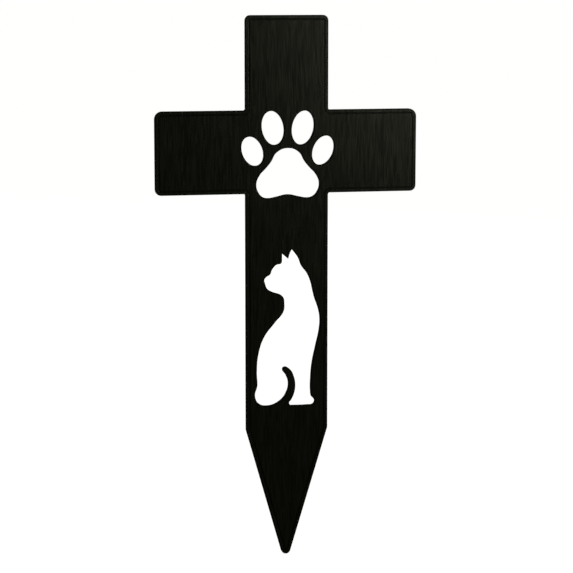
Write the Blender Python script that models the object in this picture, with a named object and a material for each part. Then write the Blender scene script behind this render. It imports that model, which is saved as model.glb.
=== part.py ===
"""A flat metal grave cross: one sheet with a paw print and a sitting cat cut through it.

Metres, +Z up. The front faces -Y. The origin is in the middle of the sheet at the
ground line, where the stem ends and the pointed stake begins.
"""

import math

import bmesh
import bpy
from mathutils import Matrix, Vector

# Sheet and cross
SHEET_THICKNESS = 0.003
ARM_SPAN = 0.150
ARM_HEIGHT = 0.047
HEAD_HEIGHT = 0.053
STEM_WIDTH = 0.0475
STAKE_LENGTH = 0.0742

# Corners of the outline
HEAD_RADIUS = 0.0031
ARM_TOP_RADIUS = 0.0044
ARM_UNDER_RADIUS = 0.0034
INNER_RADIUS = 0.0010
SHOULDER_RADIUS = 0.003
TIP_RADIUS = 0.0027

# Metal left on each side of the cat, below its feet, and between its ears and the arms
CAT_SIDE_METAL = 0.0048
CAT_FOOT_METAL = 0.0134
CAT_EAR_METAL = 0.0319

# Metal left on each side of the paw's pad, and how far the paw sits below the arms' middle
PAD_SIDE_METAL = 0.0056
PAW_DROP = 0.0016

# Off the stem's middle: the stake's tip to the left, the figures to the right
TIP_SHIFT = -0.0007
CAT_SHIFT = 0.0004
PAW_SHIFT = 0.00065

# Line cut round the front, inside the outline
LINE_INSET = 0.0018
LINE_WIDTH = 0.0008
LINE_DEPTH = 0.0003

# Faceting and welding
ARC_STEP = math.radians(12)
TOE_POINTS = 48
SPAN_POINTS = 8
WELD_DISTANCE = 1e-6
SHARP_ANGLE = math.radians(30)

# The cat, drawn in hundredths of its height from the ground between its feet.
# A third value marks a sharp corner.
CAT_OUTLINE = (
    # far ear, nape and back
    (2.8, 100, "corner"),
    (7, 94.2),
    (9, 89.2),
    (12.7, 84.2),
    (14.9, 79),
    (16.2, 73.5),
    (17.3, 69),
    (20, 61),
    (20.9, 55),
    (20.4, 48),
    (18.2, 38),
    (15.9, 27),
    (15, 17.5),
    # foot, and the heel beside the tail
    (14.9, 9),
    (15.4, 5.6),
    (17.5, 2.7),
    (16.4, 0.4),
    (13, 0),
    (2.2, 0, "corner"),
    (1, 1.5),
    (2.5, 4.1),
    (4.1, 7.6),
    # tail, which is left standing as metal
    (5, 13),
    (4, 19),
    (1.4, 23.6),
    (-2.1, 24.9),
    (-3.2, 23.6),
    (-0.9, 19.5),
    (0.5, 15),
    (-0.6, 8.8),
    (-5.2, 3),
    # haunch and chest
    (-13, 0.3),
    (-18.2, 1.8),
    (-20.9, 7),
    (-19.4, 13.6),
    (-19.7, 22),
    (-18.6, 34),
    (-15, 44.5),
    (-8, 53.7),
    (-2.6, 60.5),
    (-2, 65.5),
    (-3, 70),
    # chin, nose and brow
    (-9.7, 73.1),
    (-12, 74.4),
    (-13.5, 76.1),
    (-14.3, 78.5),
    (-14.8, 80.9),
    (-13.4, 82.8),
    (-11.1, 84.3),
    (-9.9, 87.2),
    (-7.2, 90.2),
    (-4, 91.2),
    # near ear, and the dip between the ears
    (-3.5, 93, "corner"),
    (-3.5, 97.3, "corner"),
    (0.4, 93.9, "corner"),
    (1.6, 97.8),
)

# The paw, drawn in hundredths of its width from its middle: the pad's right side,
# from its top down to the notch between its lobes
PAD_TOP = (0, 6.9)
PAD_SIDE = (
    (12.3, 2.2),
    (18.3, -7.5),
    (24.2, -14.6),
    (30, -20.8),
    (33.9, -30.5),
    (31.3, -40.2),
    (26.2, -44.9),
    (20.6, -45.9),
    (12.6, -44.6),
)
PAD_NOTCH = (0, -42.2)

# The two right toes are ovals that lean outwards
TOES = (
    {"middle": (37.9, 4), "length": 32.2, "width": 22.0, "lean": math.radians(23)},
    {"middle": (16.1, 28.2), "length": 36.1, "width": 23.6, "lean": math.radians(11)},
)


def cat_scale():
    """Metres for a hundredth of the cat's height: it fills the stem between its margins."""
    across = [knot[0] for knot in CAT_OUTLINE]
    return (STEM_WIDTH - 2 * CAT_SIDE_METAL) / (max(across) - min(across))


def paw_scale():
    """Metres for a hundredth of the paw's width: the pad fills the stem between its margins."""
    pad_half_width = max(knot[0] for knot in PAD_SIDE)
    return (STEM_WIDTH / 2 - PAD_SIDE_METAL) / pad_half_width


def arm_underside():
    """Height of the arms' underside: room below them for the cat and the metal round it."""
    cat_height = cat_scale() * max(knot[1] for knot in CAT_OUTLINE)
    return CAT_FOOT_METAL + cat_height + CAT_EAR_METAL


def paw_middle():
    return Vector((PAW_SHIFT, arm_underside() + ARM_HEIGHT / 2 - PAW_DROP))


def stake_corner():
    """Height of the point where the stake's straight sides would meet below its round tip."""
    half_width = STEM_WIDTH / 2
    round_middle = STAKE_LENGTH - TIP_RADIUS
    slant = math.atan2(half_width, round_middle)
    slant -= math.asin(TIP_RADIUS / math.hypot(half_width, round_middle))
    return -half_width / math.tan(slant)


def cross_corners():
    """The cross's corners as x, z and radius, clockwise from the top right."""
    half_stem, half_span = STEM_WIDTH / 2, ARM_SPAN / 2
    under = arm_underside()
    over = under + ARM_HEIGHT
    right = [
        (half_stem, over + HEAD_HEIGHT, HEAD_RADIUS),
        (half_stem, over, INNER_RADIUS),
        (half_span, over, ARM_TOP_RADIUS),
        (half_span, under, ARM_UNDER_RADIUS),
        (half_stem, under, INNER_RADIUS),
        (half_stem, 0, SHOULDER_RADIUS),
    ]
    left = [(-x, z, radius) for x, z, radius in reversed(right)]
    return right + [(TIP_SHIFT, stake_corner(), TIP_RADIUS)] + left


def rounded_loop(corners, inset=0.0):
    """Points of a clockwise outline with an arc at each corner, moved inwards by inset."""
    points = []
    for index, (x, z, radius) in enumerate(corners):
        before = Vector(corners[index - 1][:2])
        corner = Vector((x, z))
        after = Vector(corners[(index + 1) % len(corners)][:2])
        coming = (corner - before).normalized()
        going = (after - corner).normalized()
        coming_inward = Vector((coming.y, -coming.x))
        going_inward = Vector((going.y, -going.x))
        corner += (coming_inward + going_inward) * inset / (1 + coming_inward.dot(going_inward))
        bend = math.atan2(coming.cross(going), coming.dot(going))
        inner_side = 1 if bend < 0 else -1
        radius -= inner_side * inset
        if radius <= 0:
            points.append(corner)
            continue
        spoke = -inner_side * radius * coming_inward
        arc_start = corner - coming * radius * math.tan(abs(bend) / 2)
        steps = math.ceil(abs(bend) / ARC_STEP)
        for step in range(steps + 1):
            turn = Matrix.Rotation(bend * step / steps, 2)
            points.append(arc_start - spoke + turn @ spoke)
    return points


def toe_loop(toe, side):
    """Points of an oval toe, or of its mirror image where side is -1."""
    lean = Matrix.Rotation(-toe["lean"], 2)
    points = []
    for step in range(TOE_POINTS):
        angle = math.tau * step / TOE_POINTS
        oval = Vector((toe["width"] * math.sin(angle), toe["length"] * math.cos(angle))) / 2
        x, z = Vector(toe["middle"]) + lean @ oval
        points.append(paw_middle() + Vector((side * x, z)) * paw_scale())
    return points


def pad_outline():
    left = tuple((-x, z) for x, z in reversed(PAD_SIDE))
    return (PAD_TOP, *PAD_SIDE, PAD_NOTCH, *left)


def add_loop(curve, points):
    """Adds a closed outline whose points are joined by straight lines."""
    spline = curve.splines.new("POLY")
    spline.points.add(len(points) - 1)
    for target, point in zip(spline.points, points):
        target.co = (point.x, point.y, 0, 1)
    spline.use_cyclic_u = True


def add_drawn_loop(curve, knots, scale, middle):
    """Adds a closed outline that runs smoothly through its knots and breaks at corners."""
    spline = curve.splines.new("BEZIER")
    spline.bezier_points.add(len(knots) - 1)
    for target, knot in zip(spline.bezier_points, knots):
        place = middle + Vector(knot[:2]) * scale
        target.co = (place.x, place.y, 0)
        handle = "VECTOR" if "corner" in knot else "AUTO"
        target.handle_left_type = handle
        target.handle_right_type = handle
    spline.use_cyclic_u = True
    spline.resolution_u = SPAN_POINTS


def new_outline(name, thickness):
    """A flat curve that fills its outer loop and leaves the loops inside it open."""
    curve = bpy.data.curves.new(name, "CURVE")
    curve.dimensions = "2D"
    curve.fill_mode = "BOTH"
    curve.extrude = thickness / 2
    return curve


def evaluated_mesh(thing):
    bpy.context.view_layer.update()
    evaluated = thing.evaluated_get(bpy.context.evaluated_depsgraph_get())
    return bpy.data.meshes.new_from_object(evaluated)


def close_and_tidy(mesh):
    """Welds the filled faces to the walls. The fill leaves a triangle with no area where three
    points lie on one line, as along both arms, so the triangles are turned to avoid it."""
    shape = bmesh.new()
    shape.from_mesh(mesh)
    bmesh.ops.remove_doubles(shape, verts=shape.verts, dist=WELD_DISTANCE)
    bmesh.ops.recalc_face_normals(shape, faces=shape.faces)
    bmesh.ops.beautify_fill(shape, faces=shape.faces, edges=shape.edges)
    shape.to_mesh(mesh)
    shape.free()


def standing_piece(name, curve, middle_y, collection):
    """The outline stood up to face -Y, as an object with one closed mesh."""
    outline = bpy.data.objects.new("outline", curve)
    outline.rotation_euler.x = math.radians(90)
    outline.location.y = middle_y
    collection.objects.link(outline)
    mesh = evaluated_mesh(outline)
    close_and_tidy(mesh)
    piece = bpy.data.objects.new(name, mesh)
    piece.matrix_world = outline.matrix_world.copy()
    collection.objects.link(piece)
    bpy.data.objects.remove(outline)
    bpy.data.curves.remove(curve)
    return piece


def cut_sheet(collection):
    """The sheet as it comes off the cutting table: the cross with its figures cut out."""
    curve = new_outline("cross_outline", SHEET_THICKNESS)
    add_loop(curve, rounded_loop(cross_corners()))
    for toe in TOES:
        for side in (1, -1):
            add_loop(curve, toe_loop(toe, side))
    add_drawn_loop(curve, pad_outline(), paw_scale(), paw_middle())
    add_drawn_loop(curve, CAT_OUTLINE, cat_scale(), Vector((CAT_SHIFT, CAT_FOOT_METAL)))
    return standing_piece("grave_cross", curve, 0, collection)


def line_cutter(collection):
    """A ring inside the outline, sunk LINE_DEPTH into the front and as much proud of it."""
    curve = new_outline("line_outline", 2 * LINE_DEPTH)
    for inset in (LINE_INSET, LINE_INSET + LINE_WIDTH):
        add_loop(curve, rounded_loop(cross_corners(), inset))
    cutter = standing_piece("line_cutter", curve, -SHEET_THICKNESS / 2, collection)
    cutter.hide_render = True
    cutter.display_type = "WIRE"
    return cutter


def cut_line(plate, cutter):
    """Cuts the line into the plate's front and keeps the result as the plate's mesh."""
    line = plate.modifiers.new("line", "BOOLEAN")
    line.operation = "DIFFERENCE"
    line.solver = "EXACT"
    line.object = cutter
    mesh = evaluated_mesh(plate)
    plate.modifiers.remove(line)
    plate.data = mesh


def black_paint():
    material = bpy.data.materials.new("black_paint")
    material.use_nodes = True
    shader = material.node_tree.nodes["Principled BSDF"]
    shader.inputs["Base Color"].default_value = (0.012, 0.0125, 0.0095, 1)
    shader.inputs["Roughness"].default_value = 0.45
    shader.inputs["Metallic"].default_value = 0.0
    return material


def new_collection(name):
    collection = bpy.data.collections.new(name)
    bpy.context.scene.collection.children.link(collection)
    return collection


def build():
    for leftover in list(bpy.data.objects):
        bpy.data.objects.remove(leftover)
    parts = new_collection("metal grave cross")
    cutters = new_collection("cutters")
    plate = cut_sheet(parts)
    cut_line(plate, line_cutter(cutters))
    plate.data.materials.clear()
    plate.data.materials.append(black_paint())
    plate.data.shade_smooth()
    plate.data.set_sharp_from_angle(angle=SHARP_ANGLE)


build()
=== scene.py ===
"""The finished look of a flat metal grave cross: black brushed sheet with a paw print and a
sitting cat cut through it, and a fine line round its front.

Metres, +Z up. The front faces -Y.
"""

import math

import bmesh
import bpy
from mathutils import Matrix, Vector


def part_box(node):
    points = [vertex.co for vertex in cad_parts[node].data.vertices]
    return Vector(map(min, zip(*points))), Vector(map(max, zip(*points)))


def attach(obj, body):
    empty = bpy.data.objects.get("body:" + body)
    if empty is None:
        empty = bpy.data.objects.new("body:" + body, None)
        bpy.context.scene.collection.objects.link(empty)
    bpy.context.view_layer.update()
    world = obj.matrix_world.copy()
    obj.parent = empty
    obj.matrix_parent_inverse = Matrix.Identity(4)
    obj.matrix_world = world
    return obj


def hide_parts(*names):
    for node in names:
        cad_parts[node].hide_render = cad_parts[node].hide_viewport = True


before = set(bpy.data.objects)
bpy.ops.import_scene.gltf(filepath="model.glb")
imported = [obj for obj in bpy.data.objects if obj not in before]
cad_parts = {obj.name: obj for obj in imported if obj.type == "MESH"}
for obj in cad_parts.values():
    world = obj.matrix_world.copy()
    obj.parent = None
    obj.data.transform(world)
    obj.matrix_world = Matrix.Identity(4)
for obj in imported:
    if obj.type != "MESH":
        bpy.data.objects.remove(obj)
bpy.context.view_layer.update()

# Levels of the sheet, from its front to its back
SHEET_LOW, SHEET_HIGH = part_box("grave_cross")
FRONT, BACK = SHEET_LOW.y, SHEET_HIGH.y
LEVEL_TOLERANCE = 0.00002

# Joining the solid's triangles
WELD_DISTANCE = 1e-6
FLAT_ANGLE = math.radians(0.2)

# Telling flat sides, cut walls and rounded rims apart
WALL_ANGLE = math.radians(60)
RIM_TILT = math.radians(3)

# Edges rounded by the paint
RIM_RADIUS = 0.0004
RIM_SEGMENTS = 4
LINE_LIP_RADIUS = 0.00009
LINE_FLOOR_RADIUS = 0.0001
LINE_SEGMENTS = 3
LINE_POINT_SPACING = 0.00015

# How far a broad side outweighs a narrow one in the shading at its edge, where 50 is even
FLAT_SIDE_WEIGHT = 100

# The finishes of the sheet's faces, in the order of its material slots
FINISHES = ("front", "border", "line", "rim", "cut edge", "back")

# Black finish over brushed metal: its dark and light tones, and how rough each is
METAL_SHARE = 0.85
FACE_TONES = ((0.032, 0.0338, 0.0256, 1), (0.060, 0.0632, 0.0480, 1))
# The border's tones, a little lighter than the face's: a painted sheen along the outline
BORDER_SHEEN_TONES = ((0.035, 0.0369, 0.0280, 1), (0.065, 0.0685, 0.0520, 1))
FACE_ROUGHNESS = (0.222, 0.250)
# The line's tones, about a third of the face's: painted shade in the recess
LINE_SHADE_TONES = ((0.0095, 0.0100, 0.0076, 1), (0.0178, 0.0187, 0.0142, 1))
LINE_ROUGHNESS = (0.30, 0.37)

# Marks of the brushing: fine strokes, with a softer grain over them
STROKE_WIDTH = 0.0005
STROKE_LENGTH = 0.009
SOFT_WIDTH = 0.001
SOFT_LENGTH = 0.012
SOFT_SHARE = 0.2
SOFT_RISE = 0.000003
BRUSHING_ENDS = (0.2, 0.8)

# Painted shade on the rounded rims: near-black, dull paint that darkens every edge
RIM_SHADE_TONES = ((0.0004, 0.0005, 0.0002, 1), (0.0010, 0.0011, 0.0008, 1))
RIM_ROUGHNESS = (0.6, 0.5)
RIM_SHINE = 0.1
RIM_GRAIN = 0.0004

# Black paint on the cut edges
EDGE_TONES = ((0.0030, 0.0033, 0.0020, 1), (0.0080, 0.0086, 0.0056, 1))
EDGE_ROUGHNESS = (0.4, 0.3)
EDGE_SHINE = 0.3
EDGE_GRAIN = 0.00035
EDGE_DETAIL = 1.0
EDGE_RISE = 0.00001
EDGE_TONE_ENDS = (0.35, 0.65)

# The values that most of a grain lies between
GRAIN_ENDS = (0.3, 0.7)

# The depth of a mark that runs straight through the sheet
THROUGH = math.inf

# Where each pattern starts, counted in marks, so that no two finishes repeat
FRONT_START = 0.0
LINE_START = 4.0
BACK_START = 11.0
SOFT_START = 7.3
RIM_START = 2.6
EDGE_START = 1.7

# The photograph's viewpoint
CAMERA_PLACE = Vector((-0.2244, -1.1372, 0.2592))
CAMERA_TARGET = Vector((0, 0, 0.0825))
CAMERA_LENS = 129.25
CAMERA_SENSOR = 36

# Floor
FLOOR_SIZE = 60
FLOOR_GAP = 0.0001
FLOOR_COLOUR = (0.85, 0.85, 0.85, 1)
FLOOR_GLOW = 0.97
WHITE = (1, 1, 1, 1)

# Softboxes
SOFTBOX_COLOUR = (1, 1, 0.97)
KEY_PLACE = Vector((1.08, -1.25, 0.29))
KEY_SIZE = (1.4, 0.08)
KEY_POWER = 4.8
REAR_PLACE = Vector((1.0, 1.25, 0.2))
REAR_SIZE = (0.9, 0.5)
REAR_POWER = 3.0

# The room's own glow, in steps from before the cross, at 0, to behind it, at 1
FRONT_GLOW = (0.026, 0.030, 0.0145, 1)
SIDE_GLOW = (0.040, 0.045, 0.026, 1)
REAR_GLOW = (0.070, 0.075, 0.060, 1)
GLOW_STEPS = ((0.0, FRONT_GLOW), (0.45, FRONT_GLOW), (0.7, SIDE_GLOW), (0.9, REAR_GLOW))


def merged_solid(node):
    """The node's solid with its loose triangles joined and each flat side made whole."""
    shape = bmesh.new()
    shape.from_mesh(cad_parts[node].data)
    bmesh.ops.remove_doubles(shape, verts=shape.verts, dist=WELD_DISTANCE)
    bmesh.ops.dissolve_limit(
        shape, angle_limit=FLAT_ANGLE, verts=shape.verts, edges=shape.edges
    )
    return shape


def at_level(thing, level):
    return all(abs(vert.co.y - level) < LEVEL_TOLERANCE for vert in thing.verts)


def line_level(shape):
    """The floor of the line cut round the front: the first level behind the front."""
    return min(vert.co.y for vert in shape.verts if vert.co.y > FRONT + LEVEL_TOLERANCE)


def within_line(face, floor):
    """Whether a face lies no deeper than the line's floor."""
    return all(vert.co.y < floor + LEVEL_TOLERANCE for vert in face.verts)


def rims(shape, level):
    """Edges at a level where a flat side meets a cut wall."""
    return [
        edge for edge in shape.edges
        if at_level(edge, level) and edge.calc_face_angle(0) > WALL_ANGLE
    ]


def beside_line(edge, floor):
    """Whether one of the edge's faces is a wall of the line."""
    return any(
        within_line(face, floor) and not at_level(face, FRONT) and not at_level(face, floor)
        for face in edge.link_faces
    )


def border_faces(shape):
    """Front faces outside the line, spread from those that reach the ends of the arms."""
    reach = SHEET_HIGH.x - LEVEL_TOLERANCE
    front = {face for face in shape.faces if at_level(face, FRONT)}
    found = {face for face in front if any(abs(vert.co.x) > reach for vert in face.verts)}
    spreading = list(found)
    while spreading:
        face = spreading.pop()
        for edge in face.edges:
            for neighbour in edge.link_faces:
                if neighbour in front and neighbour not in found:
                    found.add(neighbour)
                    spreading.append(neighbour)
    return found


def paint_faces(shape, floor):
    """Gives each face the number of its finish, in the order of FINISHES."""
    border = border_faces(shape)
    for face in shape.faces:
        if face in border:
            # The border gets the lighter tones, a painted sheen
            face.material_index = FINISHES.index("border")
        elif at_level(face, FRONT):
            face.material_index = FINISHES.index("front")
        elif at_level(face, BACK):
            face.material_index = FINISHES.index("back")
        elif within_line(face, floor):
            # The line gets the darker tones, painted shade in the recess
            face.material_index = FINISHES.index("line")
        else:
            face.material_index = FINISHES.index("cut edge")


def paint_shade_on_rims(shape):
    """Faces that neither lie flat nor stand square to the sheet are its rounded rims."""
    for face in shape.faces:
        if math.sin(RIM_TILT) < abs(face.normal.y) < math.cos(RIM_TILT):
            # The rims get the near-black finish, a painted shade along every edge
            face.material_index = FINISHES.index("rim")


def round_edges(shape, edges, radius, segments):
    """Rounds the edges. Each new face keeps the finish that it grows from."""
    bmesh.ops.bevel(
        shape, geom=edges, affect="EDGES", offset_type="OFFSET", offset=radius,
        segments=segments, profile=0.5, material=-1, clamp_overlap=False, loop_slide=False
    )


def space_line_points(shape, floor):
    """Merges the line's points where its small corners crowd them, so they can be rounded.

    They are taken in the mesh's own order, which is the same on every run.
    """
    crowded = [
        vert for vert in shape.verts
        if any(beside_line(edge, floor) for edge in vert.link_edges)
    ]
    bmesh.ops.remove_doubles(shape, verts=crowded, dist=LINE_POINT_SPACING)


def cross_sheet():
    """The painted sheet: the solid with its rims and its line rounded."""
    shape = merged_solid("grave_cross")
    floor = line_level(shape)
    space_line_points(shape, floor)
    paint_faces(shape, floor)
    lips = [edge for edge in rims(shape, FRONT) if beside_line(edge, floor)]
    outer_rims = [edge for edge in rims(shape, FRONT) + rims(shape, BACK) if edge not in lips]
    round_edges(shape, outer_rims, RIM_RADIUS, RIM_SEGMENTS)
    paint_shade_on_rims(shape)
    round_edges(shape, rims(shape, floor), LINE_FLOOR_RADIUS, LINE_SEGMENTS)
    round_edges(shape, rims(shape, FRONT), LINE_LIP_RADIUS, LINE_SEGMENTS)
    mesh = bpy.data.meshes.new("cross_sheet")
    shape.to_mesh(mesh)
    shape.free()
    mesh.shade_smooth()
    sheet = bpy.data.objects.new("cross_sheet", mesh)
    bpy.context.scene.collection.objects.link(sheet)
    flat_sides = sheet.modifiers.new("flat sides", "WEIGHTED_NORMAL")
    flat_sides.mode = "FACE_AREA"
    flat_sides.weight = FLAT_SIDE_WEIGHT
    return sheet


def new_material(name):
    material = bpy.data.materials.new(name)
    material.use_nodes = True
    return material, material.node_tree, material.node_tree.nodes["Principled BSDF"]


def add_node(tree, kind, **settings):
    node = tree.nodes.new(kind)
    for setting, value in settings.items():
        setattr(node, setting, value)
    return node


def in_marks(tree, mark, start):
    """Places on the sheet, counted in marks of this width, depth and length."""
    place = add_node(tree, "ShaderNodeTexCoord")
    scale = add_node(tree, "ShaderNodeMapping")
    scale.inputs["Location"].default_value = start
    scale.inputs["Scale"].default_value = [1 / size for size in mark]
    tree.links.new(place.outputs["Object"], scale.inputs["Vector"])
    return scale.outputs["Vector"]


def strokes(tree, width, length, start):
    """Long narrow marks side by side, each with a value of its own."""
    marks = add_node(tree, "ShaderNodeTexVoronoi")
    marks.inputs["Scale"].default_value = 1
    places = in_marks(tree, (width, THROUGH, length), (start, start, start))
    tree.links.new(places, marks.inputs["Vector"])
    return marks.outputs["Color"]


def grain(tree, width, depth, length, start, detail=2.0):
    """Soft noise with marks of this width, depth and length."""
    noise = add_node(tree, "ShaderNodeTexNoise")
    noise.inputs["Scale"].default_value = 1
    noise.inputs["Detail"].default_value = detail
    places = in_marks(tree, (width, depth, length), (start, 0, start))
    tree.links.new(places, noise.inputs["Vector"])
    return noise.outputs["Fac"]


def mixed(tree, first, second, share):
    """Two values mixed, with the second's share from 0 to 1."""
    mix = add_node(tree, "ShaderNodeMix", data_type="FLOAT")
    mix.inputs["Factor"].default_value = share
    tree.links.new(first, mix.inputs["A"])
    tree.links.new(second, mix.inputs["B"])
    return mix.outputs["Result"]


def ranged(tree, value, ends, new_ends):
    """A value that runs between two ends, spread to run between two new ones."""
    spread = add_node(tree, "ShaderNodeMapRange")
    spread.inputs["From Min"].default_value, spread.inputs["From Max"].default_value = ends
    spread.inputs["To Min"].default_value, spread.inputs["To Max"].default_value = new_ends
    tree.links.new(value, spread.inputs["Value"])
    return spread.outputs["Result"]


def toned(tree, value, tones):
    """A colour between a dark and a light tone."""
    tone = add_node(tree, "ShaderNodeMix", data_type="RGBA")
    tone.inputs["A"].default_value, tone.inputs["B"].default_value = tones
    tree.links.new(value, tone.inputs["Factor"])
    return tone.outputs["Result"]


def bumped(tree, shader, height, rise):
    """Raises the surface by up to rise, in metres, where height is 1."""
    bump = add_node(tree, "ShaderNodeBump")
    bump.inputs["Strength"].default_value = 1
    bump.inputs["Distance"].default_value = rise
    tree.links.new(height, bump.inputs["Height"])
    tree.links.new(bump.outputs["Normal"], shader.inputs["Normal"])


def brushed_black(name, tones, roughness, start):
    """Metal brushed up and down, seen through a thin black finish."""
    material, tree, shader = new_material(name)
    fine = strokes(tree, STROKE_WIDTH, STROKE_LENGTH, start)
    soft = grain(tree, SOFT_WIDTH, THROUGH, SOFT_LENGTH, start + SOFT_START)
    brushing = mixed(tree, fine, soft, SOFT_SHARE)
    contrast = ranged(tree, brushing, BRUSHING_ENDS, (0, 1))
    tree.links.new(toned(tree, contrast, tones), shader.inputs["Base Color"])
    tree.links.new(ranged(tree, brushing, BRUSHING_ENDS, roughness), shader.inputs["Roughness"])
    shader.inputs["Metallic"].default_value = METAL_SHARE
    bumped(tree, shader, soft, SOFT_RISE)
    return material


def rim_painted_shade():
    """The dull black of the rounded rims: painted shade that darkens every edge."""
    material, tree, shader = new_material("rim with painted shade")
    grains = grain(tree, RIM_GRAIN, RIM_GRAIN, RIM_GRAIN, RIM_START)
    tree.links.new(toned(tree, grains, RIM_SHADE_TONES), shader.inputs["Base Color"])
    tree.links.new(ranged(tree, grains, GRAIN_ENDS, RIM_ROUGHNESS), shader.inputs["Roughness"])
    shader.inputs["Specular IOR Level"].default_value = RIM_SHINE
    return material


def cut_edge_paint():
    """Black paint over the cut edge, whose fine marks run straight across the thickness."""
    material, tree, shader = new_material("painted cut edge")
    marks = grain(tree, EDGE_GRAIN, THROUGH, EDGE_GRAIN, EDGE_START, EDGE_DETAIL)
    contrast = ranged(tree, marks, EDGE_TONE_ENDS, (0, 1))
    tree.links.new(toned(tree, contrast, EDGE_TONES), shader.inputs["Base Color"])
    tree.links.new(ranged(tree, marks, GRAIN_ENDS, EDGE_ROUGHNESS), shader.inputs["Roughness"])
    shader.inputs["Specular IOR Level"].default_value = EDGE_SHINE
    bumped(tree, shader, marks, EDGE_RISE)
    return material


def add_finishes(sheet):
    finishes = {
        "front": brushed_black("brushed front", FACE_TONES, FACE_ROUGHNESS, FRONT_START),
        # The border: the face's finish in lighter tones, a painted sheen
        "border": brushed_black("brushed border with painted sheen", BORDER_SHEEN_TONES, FACE_ROUGHNESS, FRONT_START),
        # The line: the brushed finish in darker tones, painted shade in the recess
        "line": brushed_black("cut line with painted shade", LINE_SHADE_TONES, LINE_ROUGHNESS, LINE_START),
        # The rims: near-black painted shade along every edge
        "rim": rim_painted_shade(),
        "cut edge": cut_edge_paint(),
        "back": brushed_black("brushed back", FACE_TONES, FACE_ROUGHNESS, BACK_START),
    }
    for finish in FINISHES:
        sheet.data.materials.append(finishes[finish])


def add_camera():
    data = bpy.data.cameras.new("camera")
    data.lens = CAMERA_LENS
    data.sensor_width = CAMERA_SENSOR
    camera = bpy.data.objects.new("camera", data)
    camera.location = CAMERA_PLACE
    camera.rotation_euler = (CAMERA_TARGET - CAMERA_PLACE).to_track_quat("-Z", "Y").to_euler()
    bpy.context.scene.collection.objects.link(camera)
    bpy.context.scene.camera = camera


def add_floor():
    """A plain floor, lit mostly by its own glow, so it stays as pale as the photograph's."""
    shape = bmesh.new()
    bmesh.ops.create_grid(shape, x_segments=1, y_segments=1, size=FLOOR_SIZE / 2)
    bmesh.ops.translate(shape, verts=shape.verts, vec=(0, 0, SHEET_LOW.z - FLOOR_GAP))
    mesh = bpy.data.meshes.new("floor")
    shape.to_mesh(mesh)
    shape.free()
    material, tree, shader = new_material("pale floor")
    shader.inputs["Base Color"].default_value = FLOOR_COLOUR
    shader.inputs["Roughness"].default_value = 1
    shader.inputs["Specular IOR Level"].default_value = 0
    shader.inputs["Emission Color"].default_value = WHITE
    shader.inputs["Emission Strength"].default_value = FLOOR_GLOW
    mesh.materials.append(material)
    floor = bpy.data.objects.new("floor", mesh)
    floor.visible_diffuse = False
    floor.visible_glossy = False
    bpy.context.scene.collection.objects.link(floor)


def add_softbox(name, place, size, power):
    """A soft light that faces the middle of the cross."""
    data = bpy.data.lights.new(name, "AREA")
    data.shape = "RECTANGLE"
    data.size, data.size_y = size
    data.energy = power
    data.color = SOFTBOX_COLOUR
    light = bpy.data.objects.new(name, data)
    light.location = place
    aim = Vector((0, 0, (SHEET_LOW.z + SHEET_HIGH.z) / 2))
    light.rotation_euler = (aim - place).to_track_quat("-Z", "Y").to_euler()
    light.visible_camera = False
    bpy.context.scene.collection.objects.link(light)


def add_room():
    """White to the camera. It lights the cross dimly, and most from behind."""
    world = bpy.data.worlds.new("studio")
    bpy.context.scene.world = world
    world.use_nodes = True
    tree = world.node_tree
    tree.nodes.clear()
    place = add_node(tree, "ShaderNodeTexCoord")
    axes = add_node(tree, "ShaderNodeSeparateXYZ")
    tree.links.new(place.outputs["Generated"], axes.inputs["Vector"])
    ramp = add_node(tree, "ShaderNodeValToRGB")
    steps = ramp.color_ramp.elements
    while len(steps) < len(GLOW_STEPS):
        steps.new(1)
    for step, (position, glow) in zip(steps, GLOW_STEPS):
        step.position = position
        step.color = glow
    backwards = ranged(tree, axes.outputs["Y"], (-1, 1), (0, 1))
    tree.links.new(backwards, ramp.inputs["Fac"])
    ray = add_node(tree, "ShaderNodeLightPath")
    seen = add_node(tree, "ShaderNodeMix", data_type="RGBA")
    seen.inputs["B"].default_value = WHITE
    tree.links.new(ray.outputs["Is Camera Ray"], seen.inputs["Factor"])
    tree.links.new(ramp.outputs["Color"], seen.inputs["A"])
    background = add_node(tree, "ShaderNodeBackground")
    tree.links.new(seen.outputs["Result"], background.inputs["Color"])
    output = add_node(tree, "ShaderNodeOutputWorld")
    tree.links.new(background.outputs["Background"], output.inputs["Surface"])


add_camera()
sheet = cross_sheet()
add_finishes(sheet)
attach(sheet, "root")
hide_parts("grave_cross")
add_floor()
add_softbox("key softbox", KEY_PLACE, KEY_SIZE, KEY_POWER)
add_softbox("rear softbox", REAR_PLACE, REAR_SIZE, REAR_POWER)
add_room()
bpy.context.scene.view_settings.view_transform = "Standard"
